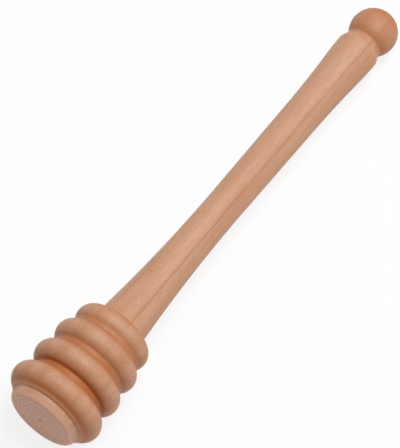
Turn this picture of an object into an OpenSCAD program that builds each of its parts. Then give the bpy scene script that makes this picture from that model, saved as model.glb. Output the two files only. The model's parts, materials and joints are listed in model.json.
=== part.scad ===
// Turned beech honey dipper: one piece of wood, lying on a table as it comes to rest.
// The profile is drawn once, with x as the radius and y as the distance from the flat end,
// and is turned about its axis. The flat end points to -X and the ball to +X.

/* [Overall] */
// Length over all, from the flat end to the tip of the ball
total_len = 160; // [150:1:180]

/* [Flat end] */
// Diameter of the boss that carries the flat end
boss_d = 21.8; // [20.5:0.1:22.6]
// Length of the boss, from the flat end to the foot of the first bead
boss_len = 2.8; // [2.4:0.1:3.2]
// Rounding between the flat end and the side of the boss
boss_edge_r = 1.9; // [0.5:0.1:2.2]
// Diameter of the centre mark that the lathe leaves in the flat end
centre_mark_d = 1.6; // [1:0.1:3]
// Depth of the centre mark
centre_mark_depth = 0.6; // [0.3:0.1:1]

/* [Ribbed head] */
// Distance from the flat end to the crown of the first bead
head_start = 7.1; // [6.8:0.1:8]
// Crown diameter of each bead, from the flat end to the handle
bead_d = [29.2, 27.8, 26.4, 23.4]; // [23:0.1:31]
// Distance between the crowns of neighbouring beads
bead_pitch = [9.0, 8.3, 7.1]; // [7:0.1:10]
// Floor diameter of the groove behind each bead but the last
groove_d = [22.0, 22.8, 21.8]; // [17:0.1:22.8]
// Radius of the rounded crown that all beads share
bead_r = 3.7; // [3.3:0.1:3.9]
// Diameter at which the bevel of the first bead rises from the boss
bevel_d = 23.4; // [22.8:0.1:24]

/* [Handle] */
// Diameter of the waist, the thinnest place
waist_d = 10.3; // [9:0.1:11]
// Distance from the flat end to the waist
waist_at = 82; // [76:1:86]
// Radius of the long hollow curve from the head to the waist
throat_r = 500; // [400:10:700]
// Rise in diameter along the grip, from the waist to the start of the swell
grip_rise = 0.5; // [0.2:0.1:0.8]
// Distance from the tip of the ball back to the start of the swell
swell_back = 41; // [38:1:44]
// Distance from the tip of the ball back to where the swell turns from hollow to round
turn_back = 21.7; // [20:0.1:25]

/* [Shoulder and ball] */
// Diameter of the shoulder, the thickest place behind the ball
shoulder_d = 12.7; // [12:0.1:14]
// Distance from the tip of the ball back to the crown of the shoulder
shoulder_back = 15; // [14.5:0.1:16]
// Rounding from the crown of the shoulder down to the neck
shoulder_edge_r = 3.6; // [2.5:0.1:4]
// Diameter of the neck between the shoulder and the ball
neck_d = 11; // [9:0.1:11.5]
// Diameter of the ball
ball_d = 14; // [13:0.1:15]

/* [Hidden] */
$fn = 200;
wood = [0.80, 0.62, 0.49];

// How far the shoulder's curve stands over the swell's where they meet, so that they cross
let_in = 0.002;

last_bead = len(bead_d) - 1;
bead_at = [for (i = [0 : last_bead]) head_start + sum_of_first(bead_pitch, i)];
ball_at = total_len - ball_d / 2;
shoulder_at = total_len - shoulder_back;
swell_at = total_len - swell_back;
turn_at = total_len - turn_back;

// The first bead's bevel is the tangent from its foot on the boss to the bead's circle
bevel_run = head_start - boss_len;
bevel_rise = bead_d[0] / 2 - bead_r - bevel_d / 2;
bevel_len = sqrt(pow(bevel_run, 2) + pow(bevel_rise, 2) - pow(bead_r, 2));
bevel_angle = atan2(bevel_run, bevel_rise) - atan2(bevel_len, bead_r);

// The grip is the tangent from the start of the swell to the throat's circle
grip_run = swell_at - waist_at;
grip_len = sqrt(pow(grip_run, 2) + pow(grip_rise / 2, 2) - grip_rise * throat_r);
grip_angle = atan2(grip_run, throat_r - grip_rise / 2) - atan2(grip_len, throat_r);

// The swell is a hollow arc that leaves along the grip, then a round one level at the shoulder
swell_rise = (shoulder_d - waist_d - grip_rise) / 2;
hollow_run = turn_at - swell_at;
crown_run = shoulder_at - turn_at;
turn_slope = (2 * swell_rise - hollow_run * tan(grip_angle)) / (hollow_run + crown_run);
hollow_r = hundredths(hollow_run / (sin(atan(turn_slope)) - sin(grip_angle)));
turn_angle = asin(hollow_run / hollow_r + sin(grip_angle));
crown_drop = swell_rise - hollow_r * (cos(grip_angle) - cos(turn_angle)) - let_in;
crown_r = hundredths((pow(crown_run, 2) + pow(crown_drop, 2)) / (2 * crown_drop));

// At rest the ball and the bead that stands out furthest touch the table
rest_angle = max([for (i = [0 : last_bead]) rest_angle_on(bead_d[i] / 2, bead_at[i])]);
axis_height = ball_d / 2 + ball_at * sin(rest_angle);
boss_low_x = boss_edge_r * cos(rest_angle) - (boss_d / 2 - boss_edge_r) * sin(rest_angle)
    - boss_edge_r;
ball_high_x = ball_at * cos(rest_angle) + ball_d / 2;

function sum_of_first(list, count) =
    count == 0 ? 0 : list[count - 1] + sum_of_first(list, count - 1);

function hundredths(size) = round(size * 100) / 100;

// Slope of the axis when a bead and the ball lie on one line below it
function rest_angle_on(crown, at) =
    atan2(crown - bead_r, ball_at - at)
    - asin((ball_d / 2 - bead_r) / norm([crown - bead_r, ball_at - at]));

// Stock from the axis out to a radius, between two distances from the flat end
module stock(radius, from, to) {
    translate([0, from])
        square([radius, to - from]);
}

module boss_profile() {
    radius = boss_d / 2;
    stock(radius - boss_edge_r, 0, boss_len);
    stock(radius, boss_edge_r, boss_len);
    translate([radius - boss_edge_r, boss_edge_r])
        circle(boss_edge_r);
}

// The first bead, whose front runs straight down to the boss
module bevelled_bead_profile() {
    centre = bead_d[0] / 2 - bead_r;
    stock(centre, boss_len, head_start);
    intersection() {
        translate([centre, head_start])
            rotate(-bevel_angle) {
                circle(bead_r);
                translate([0, -2 * bevel_len])
                    square([bead_r, 2 * bevel_len]);
            }
        stock(bead_d[0], boss_len, bead_at[1]);
    }
}

module bead_profile(crown, at) {
    stock(crown - bead_r, at - bead_r, at + bead_r);
    translate([crown - bead_r, at])
        circle(bead_r);
}

module head_profile() {
    boss_profile();
    bevelled_bead_profile();
    for (i = [1 : last_bead]) {
        bead_profile(bead_d[i] / 2, bead_at[i]);
        stock(groove_d[i - 1] / 2, bead_at[i - 1], bead_at[i]);
    }
}

// What is turned away from the handle: the throat, the grip and the hollow of the swell
module handle_waste() {
    translate([waist_d / 2 + throat_r, waist_at])
        rotate(-grip_angle) {
            circle(throat_r, $fn = 1440);
            translate([-throat_r, 0])
                square([throat_r, grip_len]);
            translate([hollow_r - throat_r, grip_len])
                circle(hollow_r, $fn = 1440);
        }
}

module handle_profile() {
    difference() {
        union() {
            stock(shoulder_d, bead_at[last_bead], turn_at);
            intersection() {
                stock(shoulder_d, turn_at, shoulder_at);
                translate([shoulder_d / 2 - crown_r, shoulder_at])
                    circle(crown_r, $fn = 1440);
            }
        }
        handle_waste();
    }
}

module ball_end_profile() {
    edge_at = shoulder_d / 2 - shoulder_edge_r;
    stock(edge_at, shoulder_at, shoulder_at + shoulder_edge_r);
    intersection() {
        translate([edge_at, shoulder_at])
            circle(shoulder_edge_r);
        stock(shoulder_d, shoulder_at, ball_at);
    }
    stock(neck_d / 2, shoulder_at, ball_at);
    intersection() {
        translate([0, ball_at])
            circle(ball_d / 2);
        stock(ball_d, ball_at - ball_d, ball_at + ball_d);
    }
}

module centre_mark_profile() {
    polygon([[0, 0], [centre_mark_d / 2, 0], [0, centre_mark_depth]]);
}

module dipper_profile() {
    difference() {
        union() {
            head_profile();
            handle_profile();
            ball_end_profile();
        }
        centre_mark_profile();
    }
}

module turned_dipper() {
    color(wood)
        translate([-(boss_low_x + ball_high_x) / 2, 0, axis_height])
            rotate([0, 90 + rest_angle, 0])
                rotate_extrude()
                    dipper_profile();
}

turned_dipper();
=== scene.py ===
# Honey dipper turned from one piece of beech, lying on a pale table.
# Sizes are in metres. Along the dipper, distances run from the flat end to the ball.
import json
import math

import bmesh
import bpy
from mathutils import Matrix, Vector


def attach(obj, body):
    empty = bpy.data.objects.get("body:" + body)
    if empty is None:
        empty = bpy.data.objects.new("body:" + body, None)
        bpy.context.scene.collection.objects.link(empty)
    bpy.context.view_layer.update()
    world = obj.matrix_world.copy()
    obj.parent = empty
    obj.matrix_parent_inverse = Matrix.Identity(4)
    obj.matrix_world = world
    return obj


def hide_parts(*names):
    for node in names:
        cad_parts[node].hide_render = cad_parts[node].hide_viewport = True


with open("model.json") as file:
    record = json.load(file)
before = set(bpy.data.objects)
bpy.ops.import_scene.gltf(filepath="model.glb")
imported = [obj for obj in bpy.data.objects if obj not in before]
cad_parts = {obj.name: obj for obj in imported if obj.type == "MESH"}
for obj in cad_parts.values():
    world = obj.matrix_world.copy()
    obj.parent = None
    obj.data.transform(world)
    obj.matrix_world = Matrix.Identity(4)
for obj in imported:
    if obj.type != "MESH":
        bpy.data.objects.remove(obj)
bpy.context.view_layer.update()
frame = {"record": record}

bl_info = {
    "name": "Turned honey dipper",
    "version": (1, 0, 0),
    "blender": (4, 5, 0),
    "location": "3D View > Sidebar > Dipper",
    "description": "Turns a beech honey dipper and sets a pale studio stage around it",
    "category": "Object",
}

MM = 0.001
NODE = "turned_dipper"

# The photograph is 400 by 448 pixels, and its longer side spans the camera's sensor
PHOTO_HEIGHT = 448
SENSOR = 36.0
# Scale at the dipper's middle, and how far the middle lands from the centre of the photograph
PIXELS_PER_MM = 3.627
MIDDLE_RIGHT_PX = 5.2
MIDDLE_BELOW_PX = 4.2


def mount(name):
    """One of the record's mounts, by name."""
    return next(m for m in frame["record"]["mounts"] if m["name"] == name)


# The turning axis runs through the neck, square to the flat end
AXIS = Vector(mount("hanging_neck")["axis"]).normalized()
NECK = Vector(mount("hanging_neck")["pos_m"])
NECK_AT = (NECK - Vector(mount("flat_end")["pos_m"])).dot(AXIS)
FLAT_END = NECK - AXIS * NECK_AT
SIDE = Vector((0.0, 1.0, 0.0))
UP = AXIS.cross(SIDE)
REST_ANGLE = math.asin(-AXIS.z)


def length(name, description, default):
    """A length property."""
    return bpy.props.FloatProperty(
        name=name, description=description, default=default, min=0.0, unit="LENGTH", precision=5
    )


def lengths(name, description, default):
    """A property that holds one length for each bead or groove."""
    return bpy.props.FloatVectorProperty(
        name=name, description=description, default=default, size=len(default), min=0.0, unit="LENGTH"
    )


def colour(name, description, default):
    """A colour property."""
    return bpy.props.FloatVectorProperty(
        name=name, description=description, default=default, size=4, min=0.0, max=1.0, subtype="COLOR"
    )


class DipperSizes(bpy.types.PropertyGroup):
    """Sizes of the turned dipper."""

    total_len: length("Length", "From the flat end to the tip of the ball", 160 * MM)
    boss_r: length("Boss radius", "Radius of the boss at the flat end", 10.9 * MM)
    boss_len: length("Boss length", "From the flat end to the first bead", 2.8 * MM)
    boss_edge_r: length("Boss edge", "Rounding between the flat end and the boss's side", 1.9 * MM)
    mark_r: length("Centre mark radius", "Radius of the lathe's centre mark", 0.8 * MM)
    mark_depth: length("Centre mark depth", "Depth of the lathe's centre mark", 0.6 * MM)
    ring_pitch: length("Turning ring pitch", "Distance between the fine rings on the flat end", 0.95 * MM)
    ring_depth: length("Turning ring depth", "Depth of the fine rings on the flat end", 0.07 * MM)
    bead_r: length("Bead rounding", "Radius of every bead's rounded crown", 3.7 * MM)
    bevel_r: length("Bevel foot radius", "Radius where the first bead's bevel leaves the boss", 11.7 * MM)
    head_start: length("First bead", "From the flat end to the first bead's crown", 7.1 * MM)
    bead_crowns: lengths(
        "Bead crowns",
        "Radius of the dipper at each bead's crown",
        (14.6 * MM, 13.9 * MM, 13.2 * MM, 11.7 * MM),
    )
    bead_pitch: lengths("Bead pitch", "From each crown to the next", (9.0 * MM, 8.3 * MM, 7.1 * MM))
    groove_floors: lengths(
        "Groove floors", "Radius of the dipper in each groove", (11.0 * MM, 11.4 * MM, 10.9 * MM)
    )
    waist_r: length("Waist radius", "Radius of the thinnest place", 5.15 * MM)
    waist_at: length("Waist place", "From the flat end to the waist", 82 * MM)
    throat_r: length("Throat curve", "Radius of the hollow curve from the head to the waist", 500 * MM)
    grip_rise: length("Grip rise", "Rise in radius from the waist to the swell", 0.25 * MM)
    swell_back: length("Swell start", "From the tip of the ball to the start of the swell", 41 * MM)
    turn_back: length("Swell turn", "From the tip of the ball to the turn of the swell", 21.7 * MM)
    shoulder_r: length("Shoulder radius", "Radius of the shoulder", 6.35 * MM)
    shoulder_back: length("Shoulder place", "From the tip of the ball to the shoulder", 15 * MM)
    shoulder_edge_r: length("Shoulder edge", "Rounding from the shoulder down to the neck", 3.6 * MM)
    neck_r: length("Neck radius", "Radius of the neck", 5.5 * MM)
    ball_r: length("Ball radius", "Radius of the ball", 7 * MM)
    head_step: length("Head step", "Spacing of the points along the head and the ball", 0.25 * MM)
    handle_step: length("Handle step", "Spacing of the points along the handle", 0.9 * MM)
    sides: bpy.props.IntProperty(name="Sides", description="Points around the dipper", default=144, min=24)
    sanding: bpy.props.IntProperty(
        name="Sanding", description="Times that the outline's corners are eased", default=2, min=0
    )


class DipperLooks(bpy.types.PropertyGroup):
    """Colours of the wood, of the painted groove shade and of the floor, and the strength of the light."""

    pale_wood: colour("Pale wood", "Colour of the pale early wood", (0.625, 0.358, 0.232, 1))
    warm_wood: colour("Warm wood", "Colour of the warmer streaks", (0.530, 0.250, 0.135, 1))
    late_wood: colour("Late wood", "Colour of the thin dark growth lines", (0.400, 0.165, 0.075, 1))
    # Painted shade deep in the grooves; the same colour also warms the cut end grain, and the ball, where
    # it is end grain and painted shade
    groove_shade_and_end_grain: colour("Groove wood", "Colour deep in the grooves", (0.430, 0.125, 0.025, 1))
    end_wood: colour("End grain", "Colour of the end grain", (0.740, 0.410, 0.285, 1))
    end_dark: colour("End grain pores", "Colour of the end grain's dark pores", (0.430, 0.210, 0.135, 1))
    floor: colour("Floor", "Colour of the floor", (0.9, 0.9, 0.9, 1))
    key_power: bpy.props.FloatProperty(
        name="Key light", description="Power of the main light in watts", default=20.0, min=0.0
    )
    sky: bpy.props.FloatProperty(
        name="Sky", description="Strength of the even light from all round", default=0.36, min=0.0
    )


def arc(centre_at, centre_r, radius, start, end, step):
    """Points on an arc. An angle of 0 points away from the axis, and 90 degrees to the ball."""
    count = max(2, math.ceil(abs(end - start) * radius / step))
    points = []
    for i in range(count + 1):
        angle = start + (end - start) * i / count
        points.append((centre_at + radius * math.sin(angle), centre_r + radius * math.cos(angle)))
    return points


def line(start, end, step):
    """Points on a straight stretch."""
    count = max(1, math.ceil(math.dist(start, end) / step))
    return [
        (start[0] + (end[0] - start[0]) * i / count, start[1] + (end[1] - start[1]) * i / count)
        for i in range(count + 1)
    ]


def flat_end_points(s):
    """The centre mark, then the flat end with its fine turning rings."""
    steps_per_ring = 8
    # The rings die away over this share of the flat, at the mark and at the edge
    fading_share = 1 / 6
    points = line((s.mark_depth, 0.0), (0.0, s.mark_r), s.head_step)
    width = s.boss_r - s.boss_edge_r - s.mark_r
    count = round(steps_per_ring * width / s.ring_pitch)
    for i in range(1, count):
        share = i / count
        wave = 0.5 - 0.5 * math.cos(2 * math.pi * i / steps_per_ring)
        strength = min(1.0, share / fading_share, (1.0 - share) / fading_share)
        points.append((s.ring_depth * wave * strength, s.mark_r + width * share))
    return points


def boss_points(s):
    """The boss's rounded edge and side, and the step up to the foot of the bevel."""
    edge_centre_r = s.boss_r - s.boss_edge_r
    points = arc(s.boss_edge_r, edge_centre_r, s.boss_edge_r, -math.pi / 2, 0.0, s.head_step)
    points += line((s.boss_edge_r, s.boss_r), (s.boss_len, s.boss_r), s.head_step)
    points += line((s.boss_len, s.boss_r), (s.boss_len, s.bevel_r), s.head_step)
    return points


def bevel_angle(s):
    """Where the bevel from the boss touches the first bead, as an angle on the bead."""
    run = s.head_start - s.boss_len
    rise = s.bead_crowns[0] - s.bead_r - s.bevel_r
    return math.acos(s.bead_r / math.hypot(run, rise)) - math.atan2(run, rise)


def groove_angle(s, bead, groove):
    """Where a bead meets a groove's floor, as an angle on the bead away from its crown."""
    centre_r = s.bead_crowns[bead] - s.bead_r
    return math.acos((s.groove_floors[groove] - centre_r) / s.bead_r)


def head_points(s):
    """The boss, the bevel, and the beads with the grooves between them."""
    points = boss_points(s)
    at = s.head_start
    start = bevel_angle(s)
    last = len(s.bead_crowns) - 1
    for i, crown in enumerate(s.bead_crowns):
        end = math.pi / 2 if i == last else groove_angle(s, i, i)
        bead = arc(at, crown - s.bead_r, s.bead_r, start, end, s.head_step)
        points += line(points[-1], bead[0], s.head_step) + bead
        if i < last:
            at += s.bead_pitch[i]
            start = -groove_angle(s, i + 1, i)
    return points


def handle_curve(s):
    """A function that gives the handle's radius at a place between the head and the shoulder."""
    swell_at = s.total_len - s.swell_back
    turn_at = s.total_len - s.turn_back
    shoulder_at = s.total_len - s.shoulder_back
    # The straight grip touches the throat's arc and ends at the swell
    run = swell_at - s.waist_at
    grip_len = math.sqrt(run**2 + s.grip_rise**2 - 2 * s.grip_rise * s.throat_r)
    slope = math.atan2(run, s.throat_r - s.grip_rise) - math.atan2(grip_len, s.throat_r)
    swell_r = s.waist_r + s.grip_rise
    # The hollow and the crown of the swell meet at the turn, where the handle is steepest
    rise = s.shoulder_r - swell_r
    steep = math.atan((2 * rise - (turn_at - swell_at) * math.tan(slope)) / (shoulder_at - swell_at))
    hollow_r = (turn_at - swell_at) / (math.sin(steep) - math.sin(slope))
    crown_r = (shoulder_at - turn_at) / math.sin(steep)

    def radius(at):
        if at < s.waist_at + s.throat_r * math.sin(slope):
            return s.waist_r + s.throat_r - math.sqrt(s.throat_r**2 - (at - s.waist_at) ** 2)
        if at < swell_at:
            return swell_r - (swell_at - at) * math.tan(slope)
        if at < turn_at:
            sine = math.sin(slope) + (at - swell_at) / hollow_r
            return swell_r + hollow_r * (math.cos(slope) - math.sqrt(1 - sine**2))
        return s.shoulder_r - crown_r + math.sqrt(crown_r**2 - (shoulder_at - at) ** 2)

    return radius


def handle_points(s, start_at):
    """The handle, from the last bead's foot to the crown of the shoulder."""
    radius = handle_curve(s)
    run = s.total_len - s.shoulder_back - start_at
    count = math.ceil(run / s.handle_step)
    places = [start_at + run * i / count for i in range(count + 1)]
    return [(at, radius(at)) for at in places]


def ball_end_points(s):
    """The shoulder's rounding, the neck and the ball."""
    shoulder_at = s.total_len - s.shoulder_back
    ball_at = s.total_len - s.ball_r
    edge_centre_r = s.shoulder_r - s.shoulder_edge_r
    edge_end = math.acos((s.neck_r - edge_centre_r) / s.shoulder_edge_r)
    ball_start = -math.acos(s.neck_r / s.ball_r)
    points = arc(shoulder_at, edge_centre_r, s.shoulder_edge_r, 0.0, edge_end, s.head_step)
    ball = arc(ball_at, 0.0, s.ball_r, ball_start, math.pi / 2, s.head_step)
    return points + line(points[-1], ball[0], s.head_step) + ball


def without_repeats(points):
    """The outline without points that lie on their neighbour."""
    closest = 0.01 * MM
    kept = [points[0]]
    for point in points[1:]:
        if math.dist(point, kept[-1]) > closest:
            kept.append(point)
    return kept


def eased(points, passes):
    """The same outline with its sharp corners worn a little, as sanding leaves them."""
    for _ in range(passes):
        inner = [
            ((a[0] + 2 * b[0] + c[0]) / 4, (a[1] + 2 * b[1] + c[1]) / 4)
            for a, b, c in zip(points, points[1:], points[2:])
        ]
        points = [points[0]] + inner + [points[-1]]
    return points


def dipper_outline(s):
    """The whole outline, from the middle of the flat end to the tip of the ball."""
    head = head_points(s)
    handle = handle_points(s, head[-1][0])
    points = flat_end_points(s) + head + line(head[-1], handle[0], s.head_step)
    points += handle + ball_end_points(s)
    return eased(without_repeats(points), s.sanding)


def turned_mesh(name, outline, sides):
    """The outline turned about the dipper's axis."""
    bm = bmesh.new()
    directions = []
    for i in range(sides):
        angle = 2 * math.pi * i / sides
        directions.append(SIDE * math.cos(angle) + UP * math.sin(angle))
    first = bm.verts.new(FLAT_END + AXIS * outline[0][0])
    last = bm.verts.new(FLAT_END + AXIS * outline[-1][0])
    rows = []
    for at, radius in outline[1:-1]:
        centre = FLAT_END + AXIS * at
        rows.append([bm.verts.new(centre + way * radius) for way in directions])
    for i in range(sides):
        j = (i + 1) % sides
        bm.faces.new((first, rows[0][j], rows[0][i]))
        bm.faces.new((last, rows[-1][i], rows[-1][j]))
        for near, far in zip(rows, rows[1:]):
            bm.faces.new((near[i], near[j], far[j], far[i]))
    bmesh.ops.recalc_face_normals(bm, faces=bm.faces)
    mesh = bpy.data.meshes.new(name)
    bm.to_mesh(mesh)
    bm.free()
    mesh.shade_smooth()
    return mesh


def face_the_end_grain(mesh, s, slot):
    """Gives a material slot to the flat end and the first part of the boss's rounded edge."""
    edge_share = 0.4
    reach_along = edge_share * s.boss_edge_r
    reach_out = s.boss_r - (1 - edge_share) * s.boss_edge_r
    for face in mesh.polygons:
        from_end = face.center - FLAT_END
        at = from_end.dot(AXIS)
        if at < reach_along and (from_end - AXIS * at).length < reach_out:
            face.material_index = slot


def wire(tree, value, socket):
    """Sets a socket to a value, or links it to another socket."""
    if isinstance(value, bpy.types.NodeSocket):
        tree.links.new(value, socket)
    else:
        socket.default_value = value


def calculate(tree, operation, *values):
    """A Math node."""
    node = tree.nodes.new("ShaderNodeMath")
    node.operation = operation
    for value, socket in zip(values, node.inputs):
        wire(tree, value, socket)
    return node.outputs[0]


def reach(tree, vector, direction):
    """How far a vector reaches in a direction."""
    node = tree.nodes.new("ShaderNodeVectorMath")
    node.operation = "DOT_PRODUCT"
    wire(tree, vector, node.inputs[0])
    wire(tree, direction, node.inputs[1])
    return node.outputs["Value"]


def fade(tree, value, low, high, at_low=0.0, at_high=1.0):
    """Runs from one value at the low end to another at the high end, and stays level past them."""
    node = tree.nodes.new("ShaderNodeMapRange")
    wire(tree, value, node.inputs["Value"])
    node.inputs["From Min"].default_value = low
    node.inputs["From Max"].default_value = high
    node.inputs["To Min"].default_value = at_low
    node.inputs["To Max"].default_value = at_high
    return node.outputs["Result"]


def blend(tree, amount, first, second):
    """A colour Mix node."""
    node = tree.nodes.new("ShaderNodeMix")
    node.data_type = "RGBA"
    wire(tree, amount, node.inputs[0])
    wire(tree, first, node.inputs[6])
    wire(tree, second, node.inputs[7])
    return node.outputs[2]


def stretched_noise(tree, place, along, across, detail, roughness=0.5):
    """Noise drawn out along the grain. The first two numbers are waves to the millimetre."""
    stretch = tree.nodes.new("ShaderNodeVectorMath")
    stretch.operation = "MULTIPLY"
    wire(tree, place, stretch.inputs[0])
    wire(tree, (along, across, across), stretch.inputs[1])
    noise = tree.nodes.new("ShaderNodeTexNoise")
    wire(tree, stretch.outputs[0], noise.inputs["Vector"])
    noise.inputs["Scale"].default_value = 1.0
    noise.inputs["Detail"].default_value = detail
    noise.inputs["Roughness"].default_value = roughness
    return noise.outputs[0]


def along_and_out(tree, place):
    """Distance along the turning axis, and distance from it, both in millimetres."""
    split = tree.nodes.new("ShaderNodeSeparateXYZ")
    wire(tree, place, split.inputs[0])
    side = calculate(tree, "POWER", split.outputs["Y"], 2.0)
    rise = calculate(tree, "POWER", split.outputs["Z"], 2.0)
    return split.outputs["X"], calculate(tree, "SQRT", calculate(tree, "ADD", side, rise))


def new_group(name, inputs, outputs):
    """An empty shader group with named sockets."""
    group = bpy.data.node_groups.new(name, "ShaderNodeTree")
    for label, kind in inputs:
        group.interface.new_socket(name=label, in_out="INPUT", socket_type=kind)
    for label, kind in outputs:
        group.interface.new_socket(name=label, in_out="OUTPUT", socket_type=kind)
    return group, group.nodes.new("NodeGroupInput"), group.nodes.new("NodeGroupOutput")


def growth_lines(group, place, handle_start, neck_at):
    """Thin dark sheets through the wood, faint and broken on the head and the ball."""
    # In millimetres: from line to line, from the axis to one of them, and how far they wander
    spacing = 9.0
    first_line = 1.75
    wander = 0.8
    # The way across the sheets, and the share of their strength on the head and the ball
    across = (0.0, -0.961, -0.276)
    faint = 0.35
    drift = stretched_noise(group, place, along=0.012, across=0.10, detail=2.0)
    offset = calculate(group, "MULTIPLY_ADD", drift, 2 * wander, -wander - first_line)
    sheet = calculate(group, "ADD", reach(group, place, across), offset)
    season = calculate(group, "FRACT", calculate(group, "DIVIDE", sheet, spacing))
    # Each season darkens slowly up to its line, and the next one starts pale
    line_band = calculate(group, "POWER", fade(group, season, low=0.82, high=0.985), 2.5)
    breaks = stretched_noise(group, place, along=0.06, across=0.5, detail=2.0)
    breaks = fade(group, breaks, low=0.35, high=0.6, at_low=0.45, at_high=1.0)
    along = along_and_out(group, place)[0]
    off_head = fade(group, along, handle_start - 1.2, handle_start + 8.8, at_low=faint, at_high=1.0)
    off_ball = fade(group, along, neck_at - 2.0, neck_at + 1.0, at_low=1.0, at_high=faint)
    growth = calculate(group, "MULTIPLY", line_band, breaks)
    growth = calculate(group, "MULTIPLY", growth, off_head)
    return calculate(group, "MULTIPLY", growth, off_ball)


def beech_figure_group(handle_start, neck_at):
    """Beech as a solid: growth lines, warm streaks, fibres and short ray flecks.

    Places are in millimetres, and their X runs along the grain from the flat end.
    """
    group, given, result = new_group(
        "Beech figure",
        [
            ("Place", "NodeSocketVector"),
            ("Pale", "NodeSocketColor"),
            ("Warm", "NodeSocketColor"),
            ("Dark", "NodeSocketColor"),
            ("Line Strength", "NodeSocketFloat"),
            ("Fleck Strength", "NodeSocketFloat"),
        ],
        [("Color", "NodeSocketColor"), ("Roughness", "NodeSocketFloat"), ("Height", "NodeSocketFloat")],
    )
    streak_warmth = 0.7
    fibre_warmth = 0.4
    fleck_depth = 0.8
    place = given.outputs["Place"]

    growth = growth_lines(group, place, handle_start, neck_at)
    growth = calculate(group, "MULTIPLY", growth, given.outputs["Line Strength"])
    streaks = stretched_noise(group, place, along=0.02, across=0.34, detail=3.0)
    streaks = fade(group, streaks, low=0.32, high=0.68, at_high=streak_warmth)
    fibres = stretched_noise(group, place, along=0.10, across=4.0, detail=3.0, roughness=0.6)
    flecks = stretched_noise(group, place, along=0.55, across=3.2, detail=1.0)
    flecks = fade(group, flecks, low=0.60, high=0.70)
    flecks = calculate(group, "MULTIPLY", flecks, given.outputs["Fleck Strength"])

    warmth = fade(group, fibres, low=0.35, high=0.7, at_high=fibre_warmth)
    warmth = calculate(group, "ADD", streaks, warmth)
    tone = blend(group, warmth, given.outputs["Pale"], given.outputs["Warm"])
    tone = blend(group, flecks, tone, given.outputs["Dark"])
    tone = blend(group, growth, tone, given.outputs["Dark"])
    roughness = fade(group, fibres, low=0.3, high=0.7, at_low=0.44, at_high=0.58)
    height = calculate(group, "SUBTRACT", fibres, calculate(group, "MULTIPLY", flecks, fleck_depth))
    wire(group, tone, result.inputs["Color"])
    wire(group, roughness, result.inputs["Roughness"])
    wire(group, height, result.inputs["Height"])
    return group


def wood_material(name, group, **figure_values):
    """A satin material that draws the beech figure. Returns it with its shader, figure and place."""
    material = bpy.data.materials.new(name)
    material.use_nodes = True
    tree = material.node_tree
    shader = tree.nodes["Principled BSDF"]
    shader.inputs["Specular IOR Level"].default_value = 0.35
    coordinates = tree.nodes.new("ShaderNodeTexCoord")
    turn = tree.nodes.new("ShaderNodeMapping")
    turn.vector_type = "TEXTURE"
    turn.inputs["Location"].default_value = FLAT_END
    turn.inputs["Rotation"].default_value = (0.0, REST_ANGLE, 0.0)
    turn.inputs["Scale"].default_value = (MM, MM, MM)
    wire(tree, coordinates.outputs["Object"], turn.inputs["Vector"])
    figure = tree.nodes.new("ShaderNodeGroup")
    figure.node_tree = group
    wire(tree, turn.outputs["Vector"], figure.inputs["Place"])
    for label, value in figure_values.items():
        figure.inputs[label.replace("_", " ").title()].default_value = value
    bump = tree.nodes.new("ShaderNodeBump")
    bump.inputs["Strength"].default_value = 0.35
    bump.inputs["Distance"].default_value = 0.06 * MM
    wire(tree, figure.outputs["Height"], bump.inputs["Height"])
    wire(tree, bump.outputs["Normal"], shader.inputs["Normal"])
    wire(tree, figure.outputs["Roughness"], shader.inputs["Roughness"])
    return material, shader, figure, turn.outputs["Vector"]


def end_grain_share(tree):
    """How squarely the surface cuts the fibres, from 0 along them to 1 on the flat end."""
    coordinates = tree.nodes.new("ShaderNodeTexCoord")
    return calculate(tree, "ABSOLUTE", reach(tree, coordinates.outputs["Normal"], AXIS))


def side_grain_material(looks, group, boss_len, head_end, neck_at):
    """The turned sides, with painted shade deep in the grooves, warmer where the fibres are cut across,
    and warmer on the ball from end grain and painted shade.
    """
    material, shader, figure, place = wood_material(
        "beech_side",
        group,
        pale=looks.pale_wood,
        warm=looks.warm_wood,
        dark=looks.late_wood,
        line_strength=0.75,
        fleck_strength=0.42,
    )
    # The beads' crowns lie close to a cone, with this radius at the flat end and this fall
    crown_cone_r = 15.35
    crown_cone_fall = 0.105
    # Share of the groove colour spread over the whole ball: end grain and painted shade
    ball_shade_and_end_grain = 0.3
    tree = material.node_tree
    along, out = along_and_out(tree, place)
    cut = end_grain_share(tree)
    crowns = calculate(tree, "MULTIPLY_ADD", along, -crown_cone_fall, crown_cone_r)
    depth = calculate(tree, "SUBTRACT", crowns, out)
    # Painted shade: the grooves darken towards their floors, where shade falls
    deep = fade(tree, depth, low=0.4, high=2.1, at_low=0.08, at_high=0.9)
    across = fade(tree, cut, low=0.25, high=1.0, at_low=0.08, at_high=0.75)
    past_boss = fade(tree, along, boss_len - 0.2, boss_len + 0.6)
    on_head = fade(tree, along, head_end - 0.8, head_end + 0.1, at_low=1.0, at_high=0.0)
    on_ball = fade(tree, along, neck_at - 1.2, neck_at + 0.2)
    # The warm mix is painted groove shade, end grain where the fibres are cut across, and on the ball end
    # grain with painted shade
    warmth = calculate(tree, "MULTIPLY", calculate(tree, "MAXIMUM", deep, across), past_boss)
    warmth = calculate(tree, "MULTIPLY_ADD", on_ball, ball_shade_and_end_grain, warmth)
    warmth = calculate(tree, "MULTIPLY", warmth, calculate(tree, "MAXIMUM", on_head, on_ball))
    on_boss = fade(tree, along, boss_len - 0.4, boss_len - 0.1, at_low=1.0, at_high=0.0)
    boss_end = calculate(tree, "MULTIPLY", on_boss, fade(tree, cut, low=0.25, high=0.75))
    tone = blend(tree, warmth, figure.outputs["Color"], looks.groove_shade_and_end_grain)
    tone = blend(tree, boss_end, tone, looks.end_wood)
    wire(tree, tone, shader.inputs["Base Color"])
    return material


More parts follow.
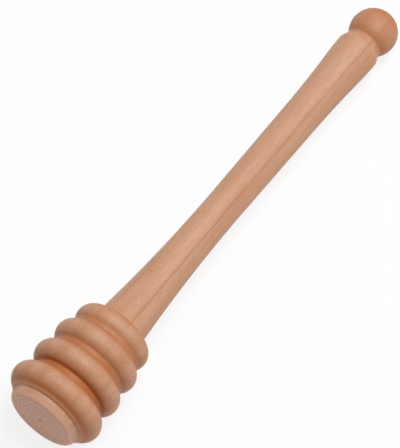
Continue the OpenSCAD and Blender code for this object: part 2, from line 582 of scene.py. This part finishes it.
def end_grain_material(looks, group):
    """The flat end, with dark pores and dark rings that waver a little."""
    material, shader, figure, place = wood_material(
        "beech_end",
        group,
        pale=looks.end_wood,
        warm=looks.end_wood,
        dark=looks.end_dark,
        line_strength=0.55,
        fleck_strength=0.75,
    )
    dark_ring_pitch = 1.208
    waver_radians = 5.0
    darkness = 0.5
    tree = material.node_tree
    out = along_and_out(tree, place)[1]
    waver = stretched_noise(tree, place, along=0.5, across=0.35, detail=2.0)
    rings = calculate(tree, "MULTIPLY", out, 2 * math.pi / dark_ring_pitch)
    rings = calculate(tree, "SINE", calculate(tree, "MULTIPLY_ADD", waver, waver_radians, rings))
    rings = fade(tree, rings, low=-0.2, high=1.0, at_high=darkness)
    pores = stretched_noise(tree, place, along=0.5, across=1.6, detail=4.0, roughness=0.7)
    pores = fade(tree, pores, low=0.42, high=0.66, at_high=darkness)
    tone = blend(tree, pores, figure.outputs["Color"], looks.end_dark)
    tone = blend(tree, rings, tone, looks.end_dark)
    wire(tree, tone, shader.inputs["Base Color"])
    return material


class DIPPER_OT_turn(bpy.types.Operator):
    """Turn the dipper from one piece of beech"""

    bl_idname = "dipper.turn"
    bl_label = "Turn the dipper"

    def execute(self, context):
        sizes = context.scene.dipper_sizes
        looks = context.scene.dipper_looks
        mesh = turned_mesh("dipper_wood", dipper_outline(sizes), sizes.sides)
        boss_len = sizes.boss_len / MM
        head_end = (sizes.head_start + sum(sizes.bead_pitch) + sizes.bead_r) / MM
        neck_at = NECK_AT / MM
        group = beech_figure_group(head_end, neck_at)
        mesh.materials.append(side_grain_material(looks, group, boss_len, head_end, neck_at))
        mesh.materials.append(end_grain_material(looks, group))
        face_the_end_grain(mesh, sizes, slot=1)
        dipper = bpy.data.objects.new("dipper_wood", mesh)
        context.scene.collection.objects.link(dipper)
        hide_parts(NODE)
        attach(dipper, "root")
        return {"FINISHED"}


def floor_material(looks):
    """A pale floor that the camera sees as white, with the dipper's soft shadow on it."""
    shadow_share = 0.18
    material = bpy.data.materials.new("pale_floor")
    material.use_nodes = True
    tree = material.node_tree
    shader = tree.nodes["Principled BSDF"]
    shader.inputs["Base Color"].default_value = looks.floor
    shader.inputs["Roughness"].default_value = 0.9
    white = tree.nodes.new("ShaderNodeEmission")
    white.inputs["Color"].default_value = (1, 1, 1, 1)
    white.inputs["Strength"].default_value = 1.0
    path = tree.nodes.new("ShaderNodeLightPath")
    seen = calculate(tree, "MAXIMUM", path.outputs["Is Camera Ray"], path.outputs["Is Glossy Ray"])
    share = calculate(tree, "MULTIPLY", seen, 1.0 - shadow_share)
    mix = tree.nodes.new("ShaderNodeMixShader")
    wire(tree, share, mix.inputs[0])
    wire(tree, shader.outputs[0], mix.inputs[1])
    wire(tree, white.outputs[0], mix.inputs[2])
    wire(tree, mix.outputs[0], tree.nodes["Material Output"].inputs["Surface"])
    return material


def add_floor(context, looks):
    """A wide flat floor under the dipper."""
    half = 2.0
    mesh = bpy.data.meshes.new("floor")
    corners = [(-half, -half, 0.0), (half, -half, 0.0), (half, half, 0.0), (-half, half, 0.0)]
    mesh.from_pydata(corners, [], [(0, 1, 2, 3)])
    mesh.materials.append(floor_material(looks))
    floor = bpy.data.objects.new("floor", mesh)
    context.scene.collection.objects.link(floor)


def add_key_light(context, power):
    """A square soft light high above the table, a little towards the ball."""
    place = Vector((0.48, -0.20, 1.50))
    data = bpy.data.lights.new("key_light", "AREA")
    data.shape = "SQUARE"
    data.size = 0.8
    data.energy = power
    light = bpy.data.objects.new("key_light", data)
    light.location = place
    light.rotation_euler = (-place).to_track_quat("-Z", "Y").to_euler()
    context.scene.collection.objects.link(light)


def add_sky(context, strength):
    """Even light from all round."""
    world = bpy.data.worlds.new("even_light")
    world.use_nodes = True
    background = world.node_tree.nodes["Background"]
    background.inputs["Color"].default_value = (1, 1, 1, 1)
    background.inputs["Strength"].default_value = strength
    context.scene.world = world


def add_camera(context):
    """The photograph's camera: high above the table, on the head's side."""
    azimuth = math.radians(-53.14)
    elevation = math.radians(64.86)
    distance = 1.2
    middle_at = 73.93 * MM
    flat = math.cos(elevation)
    ahead = Vector((-math.sin(azimuth) * flat, math.cos(azimuth) * flat, -math.sin(elevation)))
    right = Vector((math.cos(azimuth), math.sin(azimuth), 0.0))
    above = right.cross(ahead)
    middle = FLAT_END + AXIS * middle_at
    aim = middle + (above * MIDDLE_BELOW_PX - right * MIDDLE_RIGHT_PX) * MM / PIXELS_PER_MM
    data = bpy.data.cameras.new("camera")
    data.sensor_width = SENSOR
    data.lens = PIXELS_PER_MM * distance / MM * SENSOR / PHOTO_HEIGHT
    camera = bpy.data.objects.new("camera", data)
    camera.location = middle - ahead * distance
    camera.rotation_euler = (aim - camera.location).to_track_quat("-Z", "Y").to_euler()
    context.scene.collection.objects.link(camera)
    context.scene.camera = camera


class DIPPER_OT_stage(bpy.types.Operator):
    """Set the floor, the lights and the camera"""

    bl_idname = "dipper.stage"
    bl_label = "Set the stage"

    def execute(self, context):
        looks = context.scene.dipper_looks
        add_floor(context, looks)
        add_sky(context, looks.sky)
        add_key_light(context, looks.key_power)
        add_camera(context)
        context.scene.view_settings.view_transform = "Standard"
        return {"FINISHED"}


class DIPPER_PT_panel(bpy.types.Panel):
    """Sizes, colours and steps of the dipper"""

    bl_idname = "DIPPER_PT_panel"
    bl_label = "Honey dipper"
    bl_space_type = "VIEW_3D"
    bl_region_type = "UI"
    bl_category = "Dipper"

    def draw(self, context):
        for group in (context.scene.dipper_sizes, context.scene.dipper_looks):
            box = self.layout.box()
            for name in group.__annotations__:
                box.prop(group, name)
        self.layout.operator(DIPPER_OT_stage.bl_idname)
        self.layout.operator(DIPPER_OT_turn.bl_idname)


CLASSES = (DipperSizes, DipperLooks, DIPPER_OT_turn, DIPPER_OT_stage, DIPPER_PT_panel)


def register():
    for cls in CLASSES:
        bpy.utils.register_class(cls)
    bpy.types.Scene.dipper_sizes = bpy.props.PointerProperty(type=DipperSizes)
    bpy.types.Scene.dipper_looks = bpy.props.PointerProperty(type=DipperLooks)


def unregister():
    del bpy.types.Scene.dipper_looks
    del bpy.types.Scene.dipper_sizes
    for cls in reversed(CLASSES):
        bpy.utils.unregister_class(cls)


def main():
    register()
    bpy.ops.dipper.stage()
    bpy.ops.dipper.turn()


if __name__ == "__main__":
    main()
